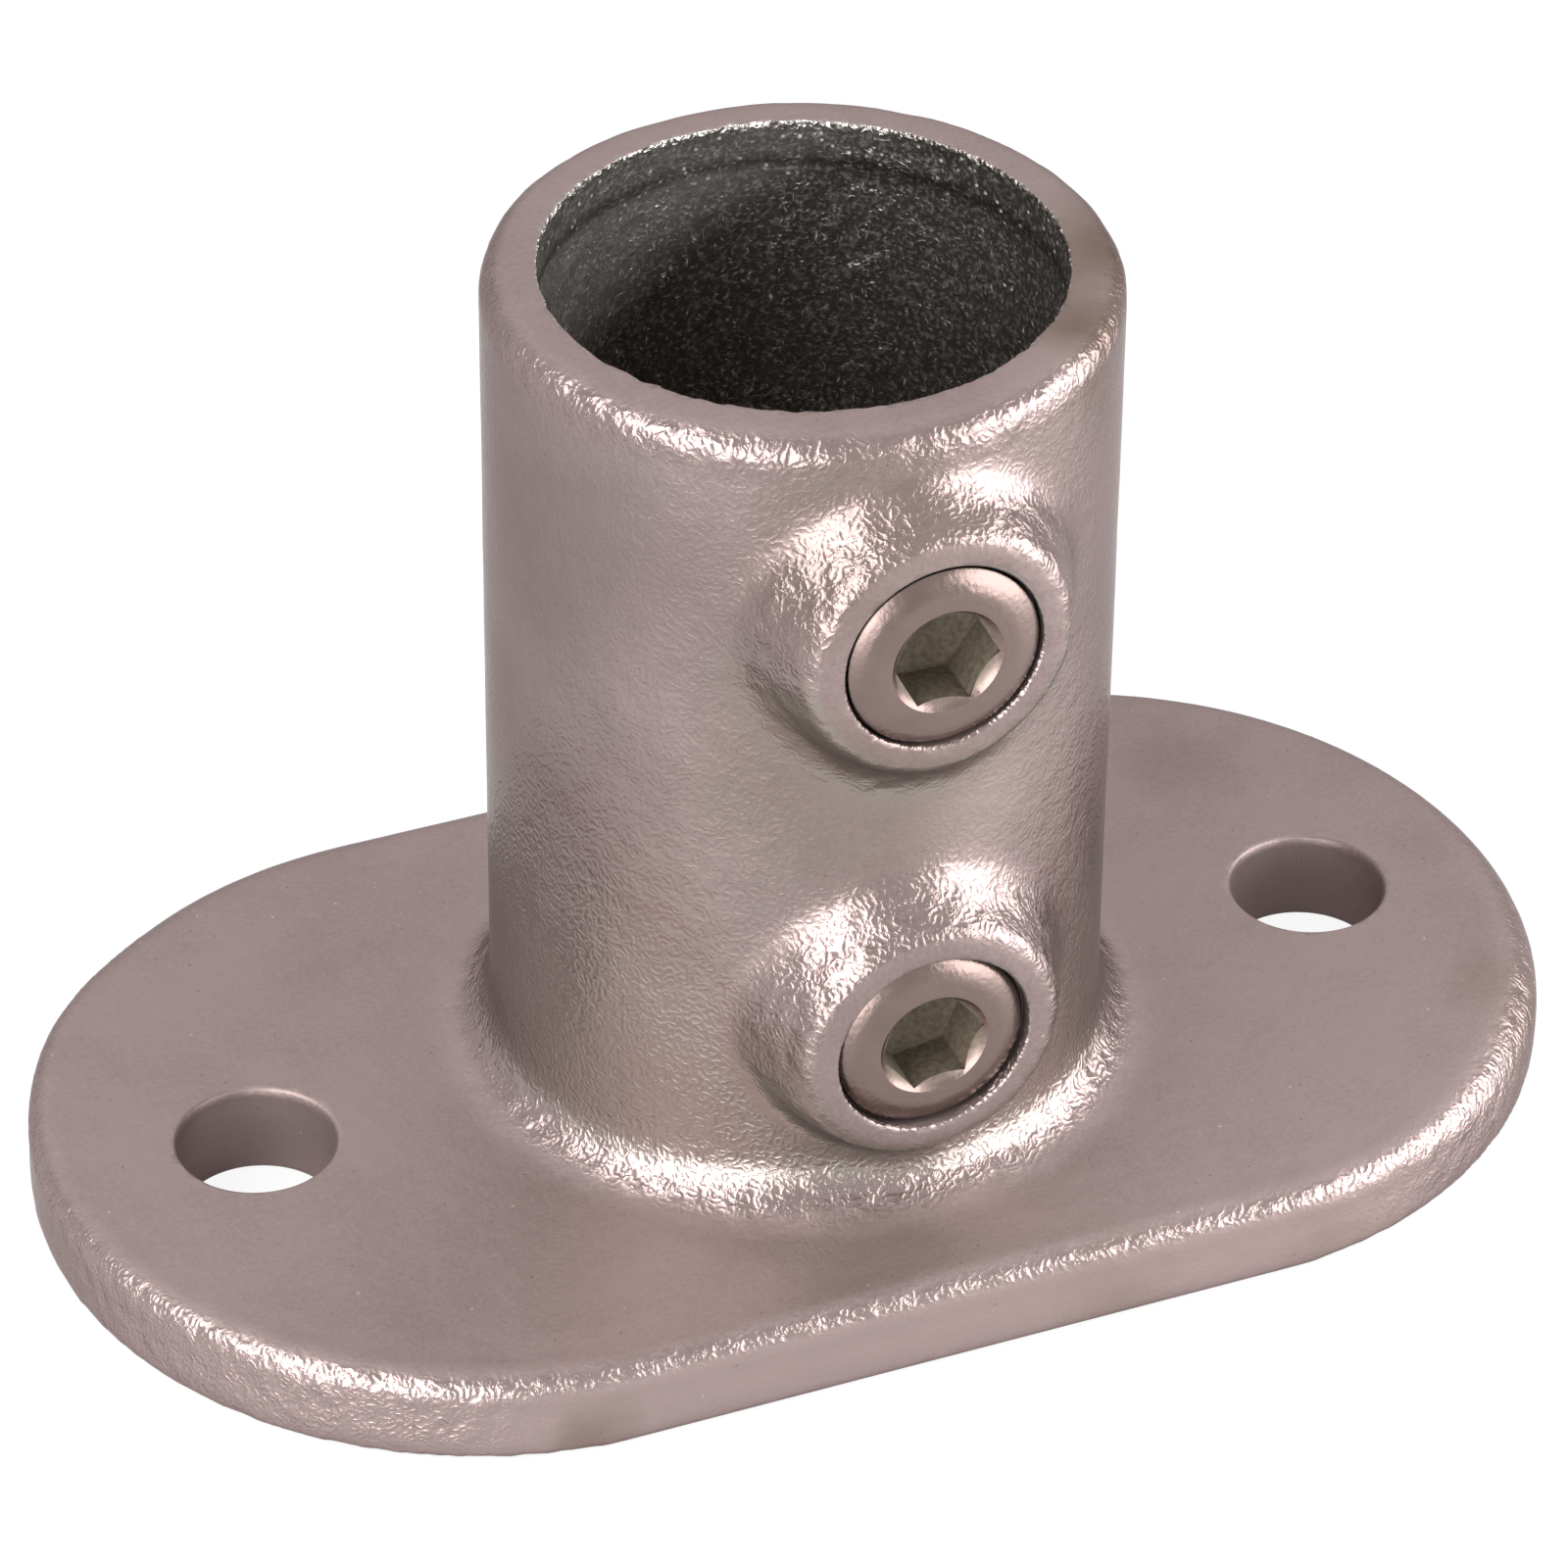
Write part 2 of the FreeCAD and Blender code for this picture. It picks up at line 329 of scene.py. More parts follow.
def build_screw(name, front, axis_z, turn):
    sizes = bpy.context.scene.flange_sizes
    back = front + screw_length
    socket_radius = sizes.hexagon_width / 2
    crown_edge = screw_radius - CROWN_WIDTH
    crown_radius = CROWN_WIDTH / (math.sin(CROWN_END) - math.sin(CROWN_START))
    crown = []
    for step in range(CROWN_STEPS + 1):
        angle = CROWN_START + step / CROWN_STEPS * (CROWN_BEYOND - CROWN_START)
        crown.append((crown_edge + crown_radius * (math.sin(angle) - math.sin(CROWN_START)),
                      front + crown_radius * (math.cos(CROWN_START) - math.cos(angle))))
    outside = crown[-1][0]
    blank = turned(name + "_blank", [
        (0, front),
        *crown,
        (outside, back - POINT_CHAMFER - POINT_STEP),
        (screw_radius - POINT_CHAMFER, back),
        (CUP_RADIUS, back),
        (0, back - CUP_DEPTH),
    ], 128)
    # the countersink slopes at 45 degrees
    mouth = sizes.countersink / 2
    drill_radius = socket_radius - DRILL_INSIDE_FLATS
    cut(blank, turned(name + "_drill", [
        (0, front - PAST),
        (mouth + PAST, front - PAST),
        (drill_radius, front + (mouth - socket_radius)),
        (drill_radius, front + sizes.hexagon_depth),
        (0, front + sizes.hexagon_depth + DRILL_POINT),
    ], 96))
    hexagon = cylinder(6, socket_radius / math.cos(math.pi / 6), sizes.hexagon_depth + PAST,
                       (0, front + (sizes.hexagon_depth - PAST) / 2, 0), along_y=True)
    bpy.ops.object.mode_set(mode="EDIT")
    bpy.ops.mesh.select_all(action="SELECT")
    bpy.ops.transform.rotate(value=turn + math.pi / 6, orient_axis="Y", center_override=(0, 0, 0))
    bpy.ops.object.mode_set(mode="OBJECT")
    cut(blank, hexagon)

    screw = threaded_rod(name, screw_radius - COLLAR_STEP, sizes.thread_pitch, sizes.thread_depth,
                         front + COLLAR_DEPTH / 2, back + PAST)
    cut(screw, turned(name + "_collar", [
        (0, front - PAST),
        (screw_radius, front - PAST),
        (screw_radius, front + COLLAR_DEPTH),
        (0, front + COLLAR_DEPTH),
    ], 120), "UNION")
    cut(screw, blank, "INTERSECT")
    place(screw, (0, 0, axis_z))
    only_select(screw)
    bpy.ops.object.shade_smooth_by_angle(angle=SCREW_SMOOTH_ANGLE)
    return screw


# materials


def node_links(material):
    material.use_nodes = True
    tree = material.node_tree
    tree.nodes.clear()
    return tree


def add(tree, kind, links=None, **settings):
    # one node, its settings, its fixed inputs and what feeds it
    node = tree.nodes.new(kind)
    for key, value in settings.items():
        setattr(node, key, value)
    for key, value in (links or {}).items():
        socket = node.inputs[key]
        if isinstance(value, bpy.types.NodeSocket):
            tree.links.new(value, socket)
        else:
            socket.default_value = value
    return node


# the darker olive colour in the key socket: the depths between which it starts, and how wide it is
KEY_DARKER = (0.25 * MM, 0.8 * MM)
KEY_RADIUS = 5.2 * MM


def screw_finish(name, front, axis_z):
    # zinc plated turned steel: satin, a little yellower than the casting, with faint rings from the tool
    finish = bpy.context.scene.flange_finish
    material = bpy.data.materials.new(name)
    tree = node_links(material)
    where = add(tree, "ShaderNodeTexCoord").outputs["Object"]
    centred = add(tree, "ShaderNodeMapping", {"Vector": where, "Location": (0, 0, -axis_z)}).outputs["Vector"]
    rings = add(tree, "ShaderNodeTexWave", {
        "Vector": centred, "Scale": per_mm(2.2), "Distortion": 0.6, "Detail": 2.0, "Detail Scale": 2.0},
        wave_type="RINGS", rings_direction="Y").outputs["Fac"]
    grain = add(tree, "ShaderNodeTexNoise", {
        "Vector": centred, "Scale": per_mm(0.5), "Detail": 3.0}).outputs["Fac"]
    cloud = add(tree, "ShaderNodeTexNoise", {
        "Vector": centred, "Scale": per_mm(3.0), "Detail": 3.0}).outputs["Fac"]

    # where the key socket and the threads are
    across = add(tree, "ShaderNodeVectorMath", {0: centred, 1: (1, 0, 1)}, operation="MULTIPLY").outputs[0]
    radius = add(tree, "ShaderNodeVectorMath", {0: across}, operation="LENGTH").outputs["Value"]
    depth = add(tree, "ShaderNodeSeparateXYZ", {"Vector": centred}).outputs["Y"]
    deep = add(tree, "ShaderNodeMapRange", {
        "Value": depth, "From Min": front + KEY_DARKER[0], "From Max": front + KEY_DARKER[1]}).outputs["Result"]
    central = add(tree, "ShaderNodeMath", {0: radius, 1: KEY_RADIUS}, operation="LESS_THAN").outputs[0]
    key = add(tree, "ShaderNodeMath", {0: deep, 1: central}, operation="MULTIPLY").outputs[0]
    thread = add(tree, "ShaderNodeMapRange", {
        "Value": radius, "From Min": screw_radius - 0.12 * MM,
        "From Max": screw_radius - 0.02 * MM}).outputs["Result"]

    worn = add(tree, "ShaderNodeMapRange", {
        "Value": grain, "From Min": 0.35, "From Max": 0.65}).outputs["Result"]
    # the key socket: darker olive colour from just inside its mouth
    film = add(tree, "ShaderNodeMix", {
        0: worn, 6: rgba([0.7 * c for c in finish.hexagon_darker_colour]),
        7: rgba([1.15 * c for c in finish.hexagon_darker_colour])}, data_type="RGBA").outputs[2]
    colour = rgba([0.8 * c for c in finish.plated])
    for share, tint in ((cloud, rgba(finish.plated)), (key, film), (thread, rgba(finish.thread_dirt_and_groove_shadow))):
        colour = add(tree, "ShaderNodeMix", {0: share, 6: colour, 7: tint}, data_type="RGBA").outputs[2]
    satin = add(tree, "ShaderNodeMapRange", {
        "Value": cloud, "From Min": 0.3, "From Max": 0.7, "To Min": 0.24, "To Max": 0.34}).outputs["Result"]
    rough = add(tree, "ShaderNodeMath", {0: key, 1: 0.35, 2: satin}, operation="MULTIPLY_ADD").outputs[0]
    metal = add(tree, "ShaderNodeMapRange", {"Value": key, "To Min": 1.0, "To Max": 0.35}).outputs["Result"]
    marks = add(tree, "ShaderNodeBump", {"Height": rings, "Strength": 0.25, "Distance": 0.02 * MM})
    pits = add(tree, "ShaderNodeBump", {
        "Height": grain, "Strength": 0.6, "Distance": 0.06 * MM, "Normal": marks.outputs["Normal"]})
    shader = add(tree, "ShaderNodeBsdfPrincipled", {
        "Base Color": colour, "Metallic": metal, "Roughness": rough, "Normal": pits.outputs["Normal"]})
    add(tree, "ShaderNodeOutputMaterial", {"Surface": shader.outputs["BSDF"]})
    return material


# each mark on the zinc: its colour, its place and reach in millimetres, and its strength; the pale marks on
# the right of the socket's wall and between the bosses are painted light, the dark ones on its left painted
# shade, and the smudges brown handling marks
MARKS = (
    ("zinc_pale_and_painted_light", 6.0, -25.8, 47.0, 9, 0.75),
    ("zinc_pale_and_painted_light", 20.0, -17.4, 47.0, 16, 0.55),
    ("zinc_pale_and_painted_light", 22.0, -14.8, 70.0, 14, 0.55),
    ("zinc_pale_and_painted_light", 25.5, -7.0, 62.0, 16, 0.80),
    ("zinc_pale_and_painted_light", 25.5, -7.0, 40.0, 14, 0.60),
    ("zinc_dull_and_painted_shade", -25.0, -9.0, 66.0, 22, 0.80),
    ("zinc_dull_and_painted_shade", -25.0, -9.0, 44.0, 20, 0.70),
    ("zinc_dull_and_painted_shade", -16.0, -21.0, 72.0, 14, 0.50),
    ("smudge", 47.7, 19.8, 8.6, 9, 0.18),
    ("smudge", 17.2, -17.0, 86.0, 9, 0.75),
    ("smudge", 23.0, -7.0, 86.0, 12, 0.80),
    ("smudge", -4.0, -26.0, 76.0, 13, 0.36),
    ("smudge", -6.0, -26.0, 54.0, 16, 0.28),
    ("smudge", 14.0, -39.5, 3.0, 9, 0.30),
    ("smudge", 34.0, -38.0, 3.0, 8, 0.30),
    ("smudge", 60.0, -22.0, 3.0, 11, 0.35),
    ("smudge", -34.1, -39.1, 2.3, 5, 0.5),
)

# how far the clouds pull a mark's edge about, and how wide its full core is, in millimetres
MARK_RAGGED = 14 * MM
MARK_CORE = 7

# the patch of painted light inside the left of the bore, above a slanting line
BORE_PATCH_SLOPE = (-0.39, 0, 0.6)
BORE_PATCH_START = 44.5 * MM

# the painted bounce light at the socket's foot reaches this much higher at its sides than at its front
CORNER_ARCH = 24 * MM

# the cleared mouths of the tapped holes, a little off the screws' axes
MOUTH_RADIUS = screw_radius + 0.24 * MM
MOUTH_CHAMFER = 0.2 * MM
MOUTH_DEPTH = 1.4 * MM
MOUTH_SHIFT = 0.06 * MM


def casting_places(tree, where):
    # where on the casting a point lies, as soft masks from 0 to 1
    split = add(tree, "ShaderNodeSeparateXYZ", {"Vector": where})
    x, y, z = (split.outputs[axis] for axis in "XYZ")
    flat = add(tree, "ShaderNodeCombineXYZ", {"X": x, "Y": y}).outputs["Vector"]
    radius = add(tree, "ShaderNodeVectorMath", {0: flat}, operation="LENGTH").outputs["Value"]
    normal = add(tree, "ShaderNodeNewGeometry").outputs["Normal"]
    facing = add(tree, "ShaderNodeSeparateXYZ", {"Vector": normal})
    at = SimpleNamespace(z=z)
    for name, value, start, end, at_start, at_end in (
        ("level", facing.outputs["Z"], 0.80, 0.98, 0, 1),
        ("bore_wall", radius, bore_radius + 0.35 * MM, bore_radius + 0.7 * MM, 1, 0),
        ("faced", facing.outputs["Y"], -0.99, -0.90, 1, 0),
        ("proud", radius, SOCKET_RADIUS + 0.3 * MM, SOCKET_RADIUS + 1.5 * MM, 0, 1),
        ("rim", z, RIM_START, RIM_FULL, 0, 1),
        ("underneath", facing.outputs["Z"], 0.05, -0.30, 0, 1),
        ("upright", facing.outputs["Z"], 0.2, 0.7, 1, 0),
        ("above_plate", z, plate_top - 2 * MM, plate_top, 0, 1),
        ("in_front", y, -bore_radius + 2 * MM, -bore_radius + 4 * MM, 1, 0),
        ("land", z, LAND_Z - 0.5 * MM, LAND_Z + 0.5 * MM, 0, 1),
        ("lip", z, casting_high.z - 1.0 * MM, LIP_FULL, 0, 1),
    ):
        setattr(at, name, add(tree, "ShaderNodeMapRange", {
            "Value": value, "From Min": start, "From Max": end,
            "To Min": at_start, "To Max": at_end}).outputs["Result"])
    at.inside = add(tree, "ShaderNodeMapRange", {
        "Value": at.level, "To Min": at.bore_wall, "To Max": 0.0}).outputs["Result"]
    at.curved = add(tree, "ShaderNodeMath", {0: at.proud, 1: at.rim}, operation="MAXIMUM").outputs[0]

    # plain surfaces: level faces, the faces of the bosses, and the fixing holes
    boss_face = add(tree, "ShaderNodeMath", {0: at.faced, 1: at.proud}, operation="MULTIPLY").outputs[0]
    at.plain = add(tree, "ShaderNodeMath", {0: at.level, 1: boss_face}, operation="MAXIMUM").outputs[0]
    for side in (-1, 1):
        away = add(tree, "ShaderNodeVectorMath", {0: flat, 1: (side * fixing_hole_x, 0, 0)},
                   operation="DISTANCE").outputs["Value"]
        drilled = add(tree, "ShaderNodeMapRange", {
            "Value": away, "From Min": fixing_hole_radius + 0.5 * MM,
            "From Max": fixing_hole_radius + 1.0 * MM, "To Min": 1.0, "To Max": 0.0}).outputs["Result"]
        at.plain = add(tree, "ShaderNodeMath", {0: at.plain, 1: drilled}, operation="MAXIMUM").outputs[0]

    # painted bounce light: lighter, greyer zinc painted at the foot of the socket's wall and on the
    # undersides of the bosses
    sideways = add(tree, "ShaderNodeMath", {0: x, 1: x}, operation="MULTIPLY").outputs[0]
    height_up = add(tree, "ShaderNodeMath", {0: sideways, 1: -CORNER_ARCH / SOCKET_RADIUS ** 2, 2: z},
                    operation="MULTIPLY_ADD").outputs[0]
    low = add(tree, "ShaderNodeMapRange", {
        "Value": height_up, "From Min": plate_top + 5 * MM, "From Max": plate_top + 20 * MM,
        "To Min": 0.60, "To Max": 0.0}, interpolation_type="SMOOTHSTEP").outputs["Result"]
    at.low_down = add(tree, "ShaderNodeMath", {0: low, 1: at.upright}, operation="MULTIPLY").outputs[0]
    corner = add(tree, "ShaderNodeMath", {0: at.low_down, 1: at.underneath}, operation="MAXIMUM").outputs[0]
    corner = add(tree, "ShaderNodeMath", {0: corner, 1: at.above_plate}, operation="MULTIPLY").outputs[0]
    at.sheltered = add(tree, "ShaderNodeMapRange", {
        "Value": at.plain, "To Min": corner, "To Max": 0.0}).outputs["Result"]

    # the two tapped holes
    across = add(tree, "ShaderNodeVectorMath", {0: where, 1: (1, 0, 1)}, operation="MULTIPLY").outputs[0]
    rings = []
    for low, high in screw_boxes.values():
        away = add(tree, "ShaderNodeVectorMath", {0: across, 1: (0, 0, (low.z + high.z) / 2)},
                   operation="DISTANCE").outputs["Value"]
        rings.append(add(tree, "ShaderNodeMapRange", {
            "Value": away, "From Min": MOUTH_RADIUS - 0.1 * MM, "From Max": MOUTH_RADIUS + 0.12 * MM,
            "To Min": 1.0, "To Max": 0.0}).outputs["Result"])
    tapped = add(tree, "ShaderNodeMath", {0: rings[0], 1: rings[1]}, operation="MAXIMUM").outputs[0]
    at.tapped = add(tree, "ShaderNodeMath", {0: tapped, 1: at.in_front}, operation="MULTIPLY").outputs[0]
    return at


def casting_relief(tree, where, at):
    # a swell and fine wrinkles, as heights in millimetres: high on the curved surfaces, low on the plain ones
    swell = add(tree, "ShaderNodeTexNoise", {
        "Vector": where, "Scale": per_mm(1.7), "Detail": 0.0}).outputs["Fac"]
    wrinkle = add(tree, "ShaderNodeTexNoise", {
        "Vector": where, "Scale": per_mm(0.66), "Detail": 1.0, "Roughness": 0.6, "Lacunarity": 2.3,
        "Offset": 1.0, "Gain": 1.0}, noise_type="RIDGED_MULTIFRACTAL", normalize=False).outputs["Fac"]
    swell_size = add(tree, "ShaderNodeMapRange", {
        "Value": at.curved, "To Min": 0.05, "To Max": 0.24}).outputs["Result"]
    for share, size in ((at.plain, 0.05), (at.underneath, 0.12), (at.inside, 0.22)):
        swell_size = add(tree, "ShaderNodeMix", {0: share, 2: swell_size, 3: size},
                         data_type="FLOAT").outputs[0]
    bore_size = add(tree, "ShaderNodeMapRange", {
        "Value": at.land, "To Min": 0.052, "To Max": 0.035}).outputs["Result"]
    bore_size = add(tree, "ShaderNodeMath", {0: at.lip, 1: 0.09, 2: bore_size},
                    operation="MULTIPLY_ADD").outputs[0]
    fine_size = add(tree, "ShaderNodeMapRange", {
        "Value": at.curved, "To Min": 0.026, "To Max": 0.047}).outputs["Result"]
    fine_size = add(tree, "ShaderNodeMath", {0: at.low_down, 1: 0.022, 2: fine_size},
                    operation="MULTIPLY_ADD").outputs[0]
    for share, size in ((at.plain, 0.010), (at.inside, bore_size), (at.underneath, 0.018)):
        fine_size = add(tree, "ShaderNodeMix", {0: share, 2: fine_size, 3: size},
                        data_type="FLOAT").outputs[0]
    height = add(tree, "ShaderNodeMath", {0: swell, 1: swell_size}, operation="MULTIPLY").outputs[0]
    height = add(tree, "ShaderNodeMath", {0: wrinkle, 1: fine_size, 2: height},
                 operation="MULTIPLY_ADD").outputs[0]
    return add(tree, "ShaderNodeBump", {
        "Height": height, "Strength": 1.0, "Distance": MM}).outputs["Normal"]


def casting_finish():
    # hot-dip galvanised malleable iron: satin zinc over a hammered casting, which breaks a highlight into
    # sharp bright flecks and dark creases, and is duller on the flats and dark and gritty in the bore
    finish = bpy.context.scene.flange_finish
    material = bpy.data.materials.new("hot_dip_galvanised_iron")
    tree = node_links(material)
    where = add(tree, "ShaderNodeTexCoord").outputs["Object"]
    at = casting_places(tree, where)

    # the zinc: clouded and flecked, with painted light on the level faces and the plate's side, and painted
    # bounce light in the corners
    cloud = add(tree, "ShaderNodeTexNoise", {
        "Vector": where, "Scale": per_mm(16), "Detail": 3.0, "Roughness": 0.6}).outputs["Fac"]
    fleck = add(tree, "ShaderNodeTexNoise", {
        "Vector": where, "Scale": per_mm(0.5), "Detail": 1.0, "Roughness": 0.7}).outputs["Fac"]
    # painted light: the level faces, the plate's top and the rim's top, are painted paler than the rest
    light = add(tree, "ShaderNodeMapRange", {
        "Value": at.level, "To Min": -0.30, "To Max": 0.15}).outputs["Result"]
    light = add(tree, "ShaderNodeMath", {0: cloud, 1: 0.9, 2: light}, operation="MULTIPLY_ADD").outputs[0]
    light = add(tree, "ShaderNodeMath", {0: fleck, 1: 0.6, 2: light}, operation="MULTIPLY_ADD",
                use_clamp=True).outputs[0]
    # painted light: the plate's side and underside are painted paler
    plate_side = add(tree, "ShaderNodeMath", {0: at.above_plate, 1: -0.75, 2: 0.75},
                     operation="MULTIPLY_ADD").outputs[0]
    colour = rgba(finish.zinc_dull_and_painted_shade)
    for share, tint in ((light, finish.zinc_pale_and_painted_light), (at.sheltered, finish.zinc_sheltered),
                        (plate_side, finish.zinc_pale_and_painted_light)):
        colour = add(tree, "ShaderNodeMix", {0: share, 6: colour, 7: rgba(tint)},
                     data_type="RGBA").outputs[2]

    # brown and bright specks, larger cells outside than in the bore
    cell_scale = add(tree, "ShaderNodeMapRange", {
        "Value": at.inside, "To Min": per_mm(2.0), "To Max": per_mm(1.1)}).outputs["Result"]
    cells = add(tree, "ShaderNodeTexVoronoi", {"Vector": where, "Scale": cell_scale})
    speck_size = add(tree, "ShaderNodeMapRange", {
        "Value": at.inside, "To Min": 0.09, "To Max": 0.22}).outputs["Result"]
    speck = add(tree, "ShaderNodeMapRange", {
        "Value": cells.outputs["Distance"], "From Min": 0.03, "From Max": speck_size,
        "To Min": 0.6, "To Max": 0.0}).outputs["Result"]
    chosen = add(tree, "ShaderNodeSeparateXYZ", {"Vector": cells.outputs["Color"]}).outputs["X"]
    for start, end, tint in ((0.0, 0.45, finish.smudge), (0.85, 1.0, finish.bore_light)):
        share = add(tree, "ShaderNodeMath", {0: chosen, 1: (start + end) / 2, 2: (end - start) / 2},
                    operation="COMPARE").outputs[0]
        share = add(tree, "ShaderNodeMath", {0: share, 1: speck}, operation="MULTIPLY").outputs[0]
        colour = add(tree, "ShaderNodeMix", {0: share, 6: colour, 7: rgba(tint)},
                     data_type="RGBA").outputs[2]

    for tint, x, y, z, reach, strength in MARKS:
        away = add(tree, "ShaderNodeVectorMath", {0: where, 1: (x * MM, y * MM, z * MM)},
                   operation="DISTANCE").outputs["Value"]
        ragged = add(tree, "ShaderNodeMath", {0: cloud, 1: MARK_RAGGED, 2: away},
                     operation="MULTIPLY_ADD").outputs[0]
        share = add(tree, "ShaderNodeMapRange", {
            "Value": ragged, "From Min": MARK_CORE * MM, "From Max": (MARK_CORE + reach) * MM,
            "To Min": strength, "To Max": 0.0}, interpolation_type="SMOOTHSTEP").outputs["Result"]
        colour = add(tree, "ShaderNodeMix", {0: share, 6: colour, 7: rgba(getattr(finish, tint))},
                     data_type="RGBA").outputs[2]

    # the bore: dark with bright grains, a patch of painted light below the land, and a painted shadow in the
    # groove under it
    grain = add(tree, "ShaderNodeMapRange", {
        "Value": fleck, "From Min": 0.48, "From Max": 0.72}).outputs["Result"]
    # painted light: a pale patch inside the left of the bore above a slanting line, weaker on the land
    slant = add(tree, "ShaderNodeVectorMath", {0: where, 1: BORE_PATCH_SLOPE},
                operation="DOT_PRODUCT").outputs["Value"]
    patch_share = add(tree, "ShaderNodeMapRange", {
        "Value": at.land, "To Min": 1.0, "To Max": 0.45}).outputs["Result"]
    patch = add(tree, "ShaderNodeMapRange", {
        "Value": slant, "From Min": BORE_PATCH_START, "From Max": BORE_PATCH_START + 4 * MM,
        "To Min": 0.0, "To Max": patch_share}).outputs["Result"]
    pale = add(tree, "ShaderNodeMix", {
        0: grain, 6: rgba([0.78 * c for c in finish.bore_painted_light]), 7: (1, 1, 1, 1)},
        data_type="RGBA").outputs[2]
    # painted shadow: a dark line along the groove under the land
    from_land = add(tree, "ShaderNodeMath", {0: at.z, 1: LAND_Z}, operation="SUBTRACT").outputs[0]
    from_land = add(tree, "ShaderNodeMath", {0: from_land}, operation="ABSOLUTE").outputs[0]
    groove = add(tree, "ShaderNodeMapRange", {
        "Value": from_land, "From Min": 0.1 * MM, "From Max": 0.9 * MM,
        "To Min": 0.55, "To Max": 0.0}).outputs["Result"]
    bore = rgba(finish.bore_dark)
    for share, tint in ((grain, rgba(finish.bore_light)), (patch, pale), (groove, rgba(finish.thread_dirt_and_groove_shadow)),
                        (speck, (1, 1, 1, 1))):
        bore = add(tree, "ShaderNodeMix", {0: share, 6: bore, 7: tint}, data_type="RGBA").outputs[2]
    for share, tint in ((at.inside, bore), (at.tapped, rgba(finish.thread_dirt_and_groove_shadow))):
        colour = add(tree, "ShaderNodeMix", {0: share, 6: colour, 7: tint}, data_type="RGBA").outputs[2]

    rough = add(tree, "ShaderNodeMapRange", {
        "Value": at.plain, "To Min": 0.20, "To Max": 0.46}).outputs["Result"]
    for share, more in ((cloud, 0.08), (at.inside, 0.02)):
        rough = add(tree, "ShaderNodeMath", {0: share, 1: more, 2: rough},
                    operation="MULTIPLY_ADD").outputs[0]
    metal = add(tree, "ShaderNodeMapRange", {
        "Value": at.inside, "To Min": 0.83, "To Max": 0.9}).outputs["Result"]
    grains = add(tree, "ShaderNodeMath", {0: speck, 1: at.inside}, operation="MULTIPLY").outputs[0]
    metal = add(tree, "ShaderNodeMath", {0: grains, 1: -0.8, 2: metal}, operation="MULTIPLY_ADD").outputs[0]
    shader = add(tree, "ShaderNodeBsdfPrincipled", {
        "Base Color": colour, "Metallic": metal, "Roughness": rough,
        "Specular Tint": (0.52, 0.47, 0.47, 1.0), "Normal": casting_relief(tree, where, at)})
    add(tree, "ShaderNodeOutputMaterial", {"Surface": shader.outputs["BSDF"]})
    return material


# pieces


def give(piece, node, body, material):
    piece.data.materials.clear()
    piece.data.materials.append(material)
    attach(piece, body)
    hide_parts(node)


class FLANGE_OT_set_screws(bpy.types.Operator):
    """Makes the two socket set screws, threaded and crowned"""
    bl_idname = "flange.set_screws"
    bl_label = "Set screws"

    def execute(self, context):
        for node, (low, high) in screw_boxes.items():
            axis_z = (low.z + high.z) / 2
            screw = build_screw(node.replace("set_screw", "screw_turned"), low.y, axis_z, HEXAGON_TURN[node])
            give(screw, node, node.replace("_set", ""),
                 screw_finish("zinc_plated_turned_steel_" + node.split("_")[0], low.y, axis_z))
        return {"FINISHED"}


# the casting's skin: how far its plugs reach past the holes that they stop, how often it is smoothed, what
# share of its faces is kept, and the angle above which an edge stays sharp
SCREW_PLUG = 0.6 * MM
HOLE_PLUG = 1.2 * MM
MOUTH_PLUG_OUT = 1.5 * MM
MOUTH_PLUG_IN = 2.2 * MM
SKIN_SMOOTHING = 7
SKIN_KEPT = 0.82
SKIN_SMOOTH_ANGLE = math.radians(60)

# the plate's upper edge, in millimetres: the solid's even round, the tighter one at the front and left, the
# most that it stands out, and the directions in degrees from the front between which it fades at each end
EDGE_ROUND = 4.3
TIGHT_ROUND = 2.2
TIGHT_OUT = (EDGE_ROUND - TIGHT_ROUND) * (math.sqrt(2) - 1)
TIGHT_FROM = (-150, -120)
TIGHT_TO = (15, 50)

# the heights of the relief, and how far the cored bore lies behind the land
WAVES = 0.28 * MM
DENTS = 0.14 * MM
GRIT = 0.14 * MM
CORED = 0.22 * MM
RAGGED = 0.35 * MM

# the broken edges of the bore and the fixing holes, and the height of a row of faces in the bore's land
MOUTH_BREAK = 0.06 * MM
HOLE_BREAK = 0.25 * MM
LAND_ROW = 0.45 * MM


def join(piece, plug):
    only_select(piece, plug)
    bpy.ops.object.join()


def stopped_solid():
    # a copy of the solid with its holes stopped, so that the skin runs over them before they are cut
    only_select(frame["nodes"]["flange_casting"])
    bpy.ops.object.duplicate()
    skin = bpy.context.object
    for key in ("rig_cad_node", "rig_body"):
        del skin[key]
    skin.parent = None
    skin.name = "casting_skin"
    bpy.ops.object.mode_set(mode="EDIT")
    close_up()
    bpy.ops.object.mode_set(mode="OBJECT")
    for low, high in screw_boxes.values():
        plug = cylinder(96, screw_radius + SCREW_PLUG, screw_length + 2 * MM,
                        (0, boss_face_y + screw_length / 2 + MM, (low.z + high.z) / 2), along_y=True)
        cut(plug, cylinder(180, bore_radius + 0.2 * MM, 2 * casting_high.z, (0, 0, 0)))
        join(skin, plug)
    for side in (-1, 1):
        join(skin, cylinder(96, fixing_hole_radius + HOLE_PLUG, plate_top,
                            (side * fixing_hole_x, 0, plate_top / 2)))
    land_height = casting_high.z - LAND_Z - 0.3 * MM
    plug = cylinder(180, bore_radius + MOUTH_PLUG_OUT, land_height, (0, 0, casting_high.z - land_height / 2))
    cut(plug, cylinder(180, bore_radius - MOUTH_PLUG_IN, 3 * casting_high.z, (0, 0, 0)))
    join(skin, plug)
    return skin


